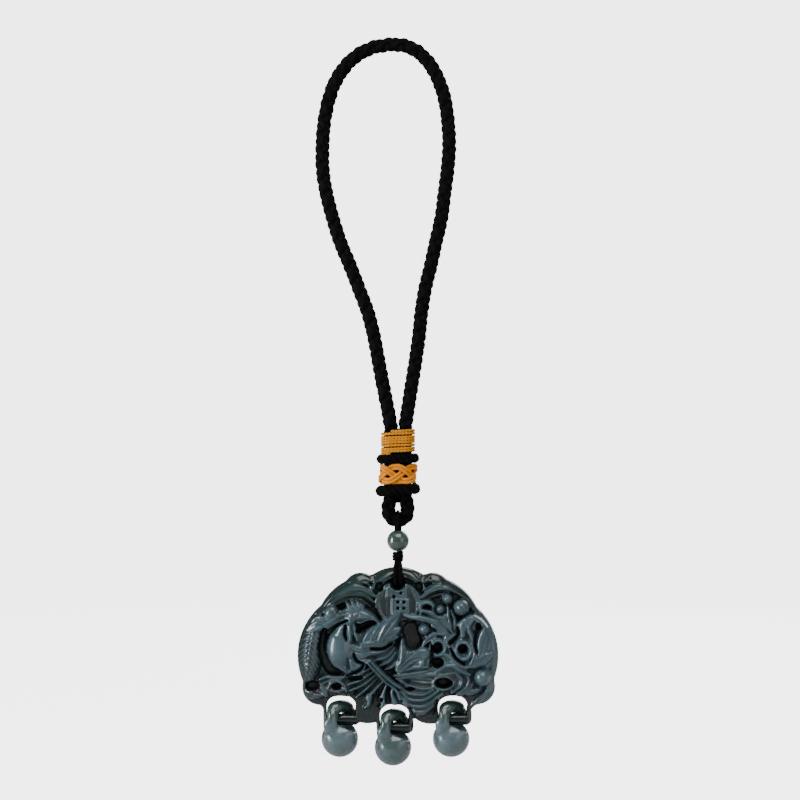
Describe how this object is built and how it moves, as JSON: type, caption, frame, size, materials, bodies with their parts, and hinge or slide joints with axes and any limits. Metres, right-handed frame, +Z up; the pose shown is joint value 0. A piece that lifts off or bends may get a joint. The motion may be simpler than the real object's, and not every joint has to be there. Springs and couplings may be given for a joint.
{
  "type": "chinese jade pendant",
  "caption": "Carved jade pendant with a phoenix-and-flower relief and loose drop rings along its lower rim, hung from a braided black cord with a gold-bound collar and a bead.",
  "frame": {"origin": "the point under the top of the cord loop, where a hook, a finger or a neck cord holds the pendant", "axes": "+Z up along the hanging pendant, -Y out of the carved front, +X to the right as the front is seen"},
  "size_m": [0.0594, 0.0113, 0.2147],
  "materials": {
    "carved_jade": "polished carved jade, dark in its hollows",
    "polished_jade": "polished jade",
    "braided_cord": "black braided polyester cord",
    "black_thread": "black twisted thread",
    "gold_thread": "glossy golden thread"
  },
  "bodies": {
    "pendant": {"cord_loop": "braided_cord", "bound_cord": "braided_cord", "upper_winding": "gold_thread", "upper_black_turn": "braided_cord", "gold_knot": "gold_thread", "lower_black_turn": "braided_cord", "bead_thread": "black_thread", "jade_bead": "polished_jade", "jade_plate": "carved_jade"},
    "left_ring": {"left_drop_ring": "polished_jade"},
    "middle_ring": {"middle_drop_ring": "polished_jade"},
    "right_ring": {"right_drop_ring": "polished_jade"}
  },
  "joints": [
    {"name": "left_ring_swing", "type": "hinge", "parent": "pendant", "child": "left_ring", "pos_m": [-0.01717, 0, -0.19708], "axis": [1, 0, 0], "range_deg": [-35, 35]},
    {"name": "middle_ring_swing", "type": "hinge", "parent": "pendant", "child": "middle_ring", "pos_m": [-0.00148, 0, -0.19959], "axis": [1, 0, 0], "range_deg": [-35, 35]},
    {"name": "right_ring_swing", "type": "hinge", "parent": "pendant", "child": "right_ring", "pos_m": [0.01569, 0, -0.19708], "axis": [1, 0, 0], "range_deg": [-35, 35]}
  ]
}
